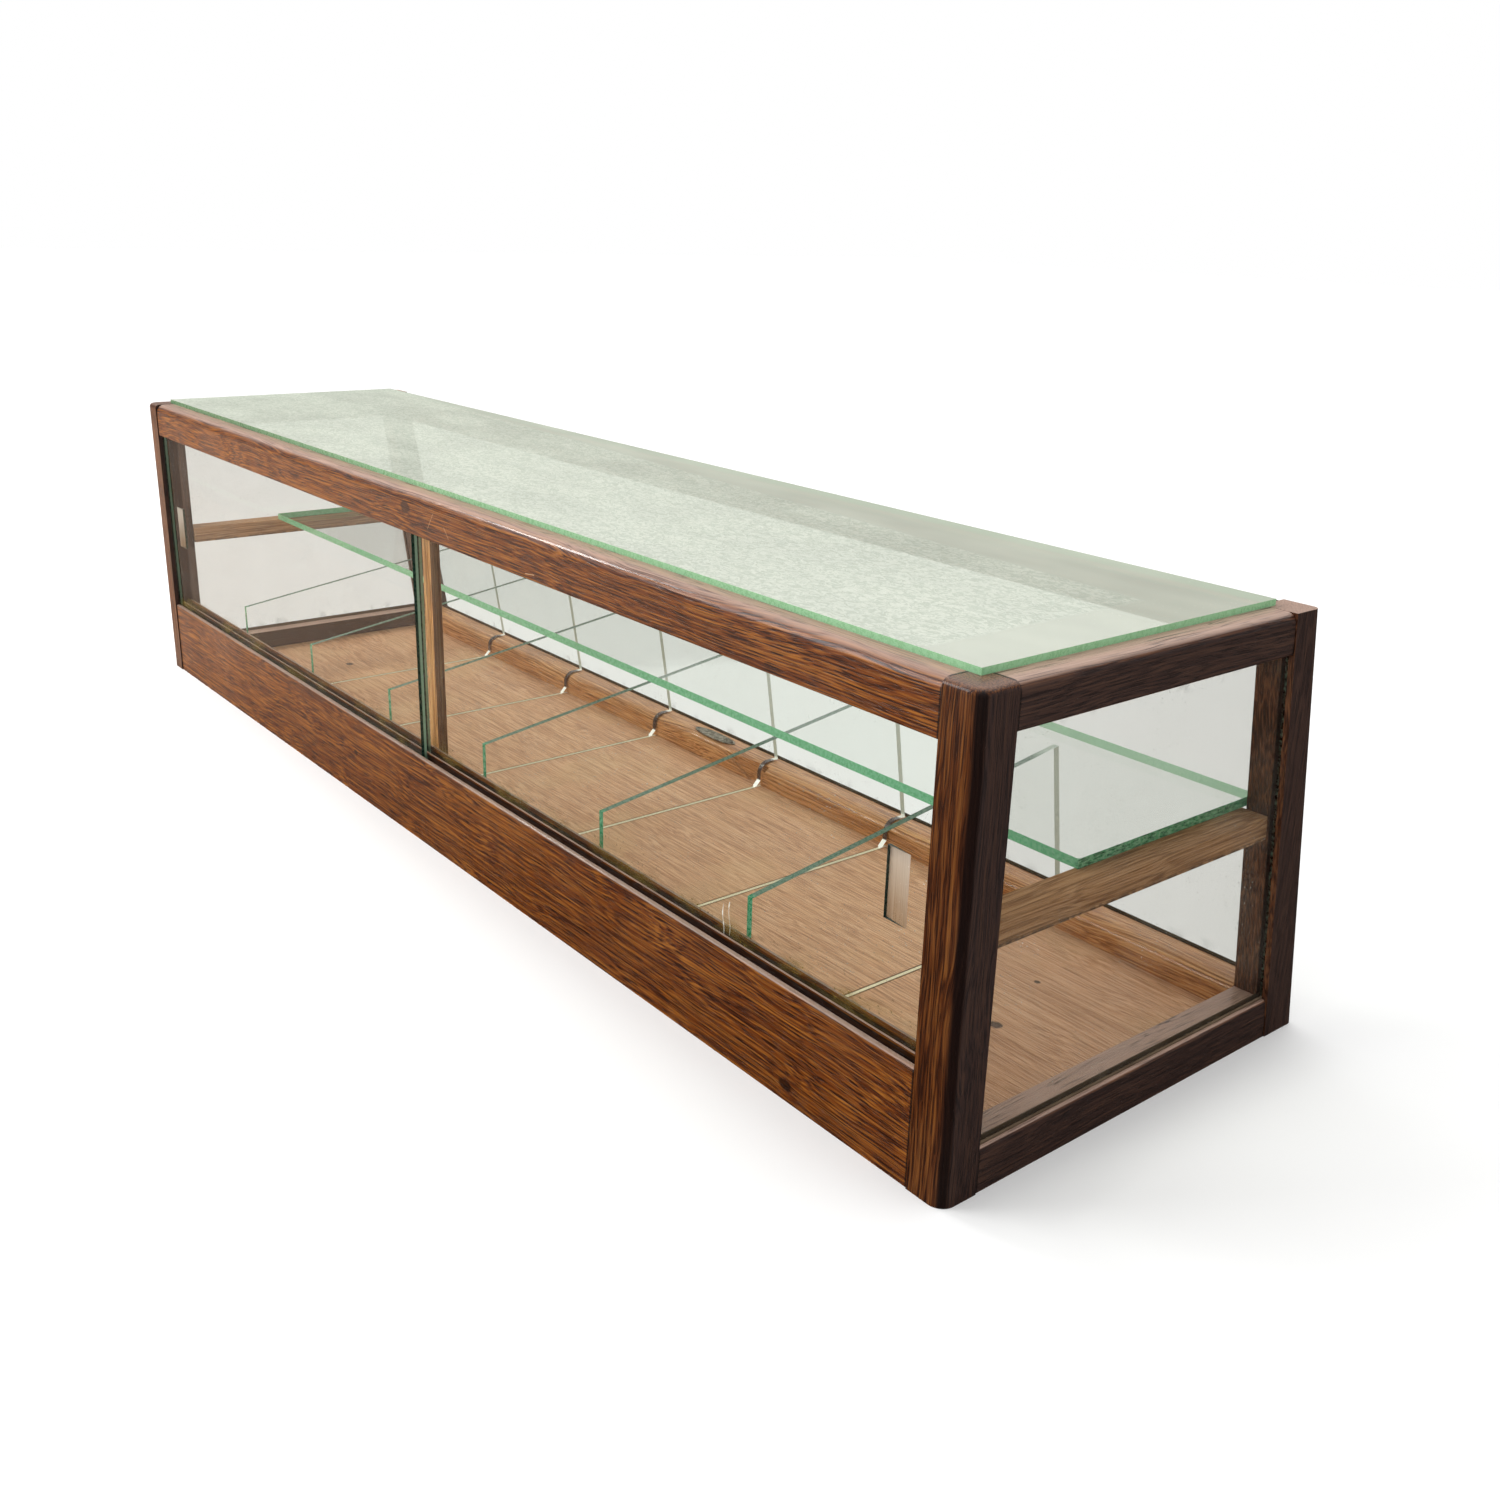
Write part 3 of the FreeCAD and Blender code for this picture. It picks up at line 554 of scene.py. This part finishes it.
def top_face(high):
    """Wear on the loose top with a painted reflection of a bright room: a fine crinkled haze inside
    a smoother border.

    Looked at squarely, fine scratches hide less of what is below them than at a slant, and the
    painted reflection is weaker.
    """
    def add(r, face):
        x, y, z = r.split(r.place)
        drift = r.noise(r.stretched((7, 16, 7)), 2.0)
        crinkle = r.noise(r.stretched((150, 240, 150)), 3.0, 0.65, 1.5)
        crease = r.step(crinkle, 0.56, 0.44)
        smooth_from = r.math("MULTIPLY_ADD", x, -0.066, 0.066)
        beyond = r.math("SUBTRACT", y, smooth_from)
        border = r.most(r.step(beyond, 0.0, 4 * MM), r.step(x, high.x - 44 * MM, high.x - 38 * MM))
        clean = r.flipped(border)
        # The pale haze is a painted reflection of a bright room on the scratched top, greyer in the
        # smoother border.
        worn = r.math("ADD", r.step(drift, 0.35, 0.65, 0.54, 0.62), r.product(crease, clean, 0.06))
        pale = r.mix(r.product(crease, clean), rgb(226, 231, 216), rgb(197, 204, 189))
        pale = r.mix(border, pale, rgb(210, 214, 199))
        slope = r.bump(r.product(crinkle, clean), 0.001)
        haze = r.shader("ShaderNodeBsdfDiffuse", Color=pale, Normal=slope)
        upper = r.step(z, high.z - 1.5 * MM, high.z - 1 * MM)
        grazing = r.nodes.new("ShaderNodeLayerWeight").outputs["Facing"]
        slanting = r.step(grazing, 0.0, 0.5, 0.4, 1.0)
        return r.blend(r.product(worn, upper, slanting), face, haze)
    return add


def divider_edges(node):
    """Ground edges: green in front, grey along the top, painted dark over the notch as painted
    shade, and pale behind and underneath, a painted highlight with a glow for light carried inside
    the glass.
    """
    low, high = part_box(node)
    middle = (low.x + high.x) / 2

    def rule(r, green, grit):
        x, y, z = r.split(r.place)
        upper = r.step(z, low.z + 8 * MM, low.z + 12 * MM)
        top = r.product(upper, r.step(y, low.y + 2 * MM, low.y + 5 * MM))
        green = r.mix(top, green, rgb(86, 116, 96))
        # The rear edge is painted pale and glows below: painted light carried inside the glass.
        rear = r.step(y, low.y + 250 * MM, low.y + 270 * MM)
        green = r.mix(rear, green, rgb(176, 188, 176))
        # Over the notch the edge is painted dark brown, a painted shade.
        notch = r.product(r.within(z, 15 * MM, 30.6 * MM, 1 * MM), r.step(y, 120 * MM, 127 * MM))
        green = r.mix(notch, green, rgb(70, 48, 38))
        bottom = r.step(z, low.z + 6.6 * MM, low.z + 5.6 * MM)
        thin = r.within(x, middle - 1.3 * MM, middle + 1.3 * MM, 0.4 * MM)
        green = r.mix(bottom, green, rgb(150, 118, 88))
        # The foot and heel are painted near-white: a frosted arris with a painted highlight.
        toe = r.step(z, low.z + 0.5 * MM, low.z + 1 * MM)
        heel = r.product(r.within(z, 30.4 * MM, 32.4 * MM, 0.4 * MM), r.step(y, 143 * MM, 147 * MM))
        bright = r.most(r.product(bottom, r.most(thin, toe)), heel)
        green = r.mix(bright, green, rgb(232, 230, 220))
        # The foot and heel glow: painted light carried inside the glass.
        lit = r.most(r.product(bottom, r.most(thin, toe), 0.5), r.product(heel, 0.26))
        glow = r.most(r.product(rear, r.flipped(notch), 0.3), lit, 0.04)
        return green, glow
    return rule


def top_edges(r, green, grit):
    """The top's edges glow more towards the right-hand end, painted light carried inside the glass,
    and are painted darker green towards the left, a painted shade.
    """
    x = r.split(r.place)[0]
    green = r.mix(r.step(x, 0.1, -0.45, 0.0, 0.75), green, rgb(70, 122, 78))
    return green, r.step(x, -0.5, 0.5, 0.0, 0.16)


frame_height = 293.5 * MM
frame_lean = 45.5 * MM
top_rail_bottom = 267.5 * MM
customer_sill = 28.1 * MM
end_sill = 28 * MM

lean = math.atan2(frame_lean, frame_height)
leaning_normal = (0.0, math.cos(lean), math.sin(lean))
pane_tint = (0.982, 0.99, 0.98, 1.0)
end_tint = (0.935, 0.93, 0.92, 1.0)
divider_tint = (0.996, 0.998, 0.996, 1.0)
shelf_tint = (0.975, 0.988, 0.976, 1.0)
top_tint = (0.95, 0.965, 0.95, 1.0)

dress("customer_glass", glass("customer_pane", leaning_normal, pane_tint, rgb(90, 150, 112), 1,
                              face_extra=grimy_border(customer_sill, top_rail_bottom),
                              mirror_share=0.25))
for seed, node in enumerate(["left_end_glass", "right_end_glass"]):
    dress(node, glass(node + "_pane", (1, 0, 0), end_tint, rgb(46, 34, 26), 2 + seed, dust=0.03,
                      face_extra=grimy_border(end_sill, top_rail_bottom)))
for seed, node in enumerate(["left_sliding_door", "right_sliding_door"]):
    dress(node, glass(node + "_pane", (0, 1, 0), pane_tint, rgb(30, 80, 60), 5 + seed,
                      face_extra=door_face(node), edge_extra=door_edges(node),
                      mirror_share=0.35))
for i in range(1, 7):
    node = "divider_%d" % i
    dress(node, glass(node + "_pane", (1, 0, 0), divider_tint, rgb(46, 124, 84), 10 + i,
                      dust=0.004, edge_extra=divider_edges(node), mirror_share=0.15))
dress("shelf_glass", glass("shelf_pane", (0, 0, 1), shelf_tint, rgb(108, 178, 132), 20,
                           chipped=0.5, edge_extra=shelf_edges, mirror_share=0.5))
dress("top_glass", glass("top_pane", (0, 0, 1), top_tint, rgb(136, 190, 142), 21,
                         dust=0.02, chipped=0.0, edge_extra=top_edges,
                         face_extra=top_face(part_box("top_glass")[1])))


# ---- metal ----------------------------------------------------------------------------------
def metal(name, colour, tarnish, roughness, seed):
    r = Recipe(name)
    shift = (seed * 1.7, seed * 2.9, seed * 3.3)
    stain = r.noise(r.stretched((300, 300, 300), shift), 4.0, 0.6)
    scratch = r.noise(r.stretched((1800, 260, 260), shift), 2.0)
    shade = r.mix(r.step(stain, 0.35, 0.65), colour, tarnish)
    rough = r.step(r.math("ADD", stain, r.product(scratch, 0.4)), 0.4, 1.0, *roughness)
    return r.done(r.shader(
        "ShaderNodeBsdfPrincipled", Base_Color=shade, Roughness=rough, Metallic=1.0,
        Normal=r.bump(scratch, 0.00003)))


dress("oval_plate", metal("plate_metal", rgb(168, 162, 146), rgb(108, 102, 88), (0.35, 0.6), 1))
for seed, node in enumerate(["floor_nails", "mullion_brads", "plate_pins"]):
    dress(node, metal(node + "_steel", rgb(150, 146, 140), rgb(80, 70, 62), (0.4, 0.7), 2 + seed))

glass_arris = 0.35 * MM
wood_arris = 0.5 * MM
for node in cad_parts:
    if any(word in node for word in ("glass", "divider", "sliding_door")):
        soften(node, glass_arris, 1)
    elif any(word in node for word in ("rail", "post", "apron", "cleat")):
        soften(node, wood_arris, 2)


# ---- studio ---------------------------------------------------------------------------------
def pale_floor():
    """A pale floor: brown where it is mirrored, and free of shadow where seen through glass."""
    bpy.ops.mesh.primitive_plane_add(size=30)
    floor = bpy.context.object
    floor.name = "studio_floor"
    floor.location.z = cad_bounds[0].z
    r = Recipe("studio_floor_paint")
    mottle = r.noise(r.stretched((3, 3, 3)), 2.0)
    colour = r.mix(mottle, rgb(250, 250, 250), rgb(253, 253, 252))
    path = r.nodes.new("ShaderNodeLightPath")
    far = r.step(r.split(r.place)[0], 0.35, -0.75)
    mirrored = r.mix(far, rgb(52, 46, 40), rgb(196, 170, 152))
    colour = r.mix(path.outputs["Is Glossy Ray"], colour, mirrored)
    lit = r.shader("ShaderNodeBsdfDiffuse", Color=colour)
    plain = r.shader("ShaderNodeEmission", Color=rgb(250, 250, 248), Strength=0.97)
    behind_glass = r.product(path.outputs["Is Camera Ray"],
                             r.step(path.outputs["Transparent Depth"], 0.4, 0.6))
    floor.data.materials.append(r.done(r.blend(behind_glass, lit, plain)))


def soft_box(name, place, target, size, power):
    data = bpy.data.lights.new(name, "AREA")
    data.shape = "RECTANGLE"
    data.size, data.size_y = size
    data.energy = power
    lamp = bpy.data.objects.new(name, data)
    bpy.context.scene.collection.objects.link(lamp)
    lamp.location = place
    lamp.rotation_mode = "QUATERNION"
    lamp.rotation_quaternion = (Vector(target) - Vector(place)).to_track_quat("-Z", "Y")


def even_daylight(strength):
    """Very soft light from above, the same everywhere on the floor."""
    data = bpy.data.lights.new("daylight", "SUN")
    data.energy = strength
    data.angle = math.radians(110)
    sun = bpy.data.objects.new("daylight", data)
    bpy.context.scene.collection.objects.link(sun)
    sun.rotation_euler = (math.radians(-12), math.radians(-14), 0)


def white_surroundings(seen, lighting, mirrored):
    """White behind the case, a dimmer even light on it, and dimmer still in reflections."""
    world = bpy.data.worlds.new("studio")
    world.use_nodes = True
    nodes, links = world.node_tree.nodes, world.node_tree.links
    nodes.clear()
    path = nodes.new("ShaderNodeLightPath")
    backdrop = nodes.new("ShaderNodeBackground")
    backdrop.inputs["Strength"].default_value = seen
    ambient = nodes.new("ShaderNodeBackground")
    level = nodes.new("ShaderNodeMapRange")
    links.new(path.outputs["Is Glossy Ray"], level.inputs["Value"])
    level.inputs["To Min"].default_value = lighting
    level.inputs["To Max"].default_value = mirrored
    links.new(level.outputs[0], ambient.inputs["Strength"])
    backdrop.inputs["Color"].default_value = (1, 1, 1, 1)
    ambient.inputs["Color"].default_value = (1, 1, 1, 1)
    choose = nodes.new("ShaderNodeMixShader")
    links.new(path.outputs["Is Camera Ray"], choose.inputs[0])
    links.new(ambient.outputs[0], choose.inputs[1])
    links.new(backdrop.outputs[0], choose.inputs[2])
    output = nodes.new("ShaderNodeOutputWorld")
    links.new(choose.outputs[0], output.inputs[0])
    bpy.context.scene.world = world


def camera():
    """The camera at three-quarter view, near the right end of the door side."""
    data = bpy.data.cameras.new("camera")
    data.sensor_width = 36.0
    data.lens = 35.196
    data.shift_x = -0.01143
    data.shift_y = -0.01986
    data.clip_start = 0.01
    seen_from = bpy.data.objects.new("camera", data)
    bpy.context.scene.collection.objects.link(seen_from)
    turn = Matrix.Rotation(math.radians(50.31), 4, "Z")
    tip = Matrix.Rotation(math.radians(-18.93), 4, "X")
    roll = Matrix.Rotation(math.radians(-1.82), 4, "Y")
    upright = Matrix.Rotation(math.radians(90), 4, "X")
    place = Matrix.Translation((1.05157, -0.6660, 0.50179))
    seen_from.matrix_world = place @ turn @ tip @ roll @ upright
    bpy.context.scene.camera = seen_from


pale_floor()
white_surroundings(1.0, 0.55, 0.16)
soft_box("key", (-1.6, -2.2, 1.7), (0, 0, 0.15), (1.6, 1.2), 45)
soft_box("strip", (-1.9, -0.72, 1.6), (0.2, -0.17, 0.28), (0.5, 0.25), 12)
even_daylight(1.8)
camera()

scene = bpy.context.scene
scene.view_settings.view_transform = "Standard"
scene.cycles.transparent_max_bounces = 64
scene.cycles.max_bounces = 12
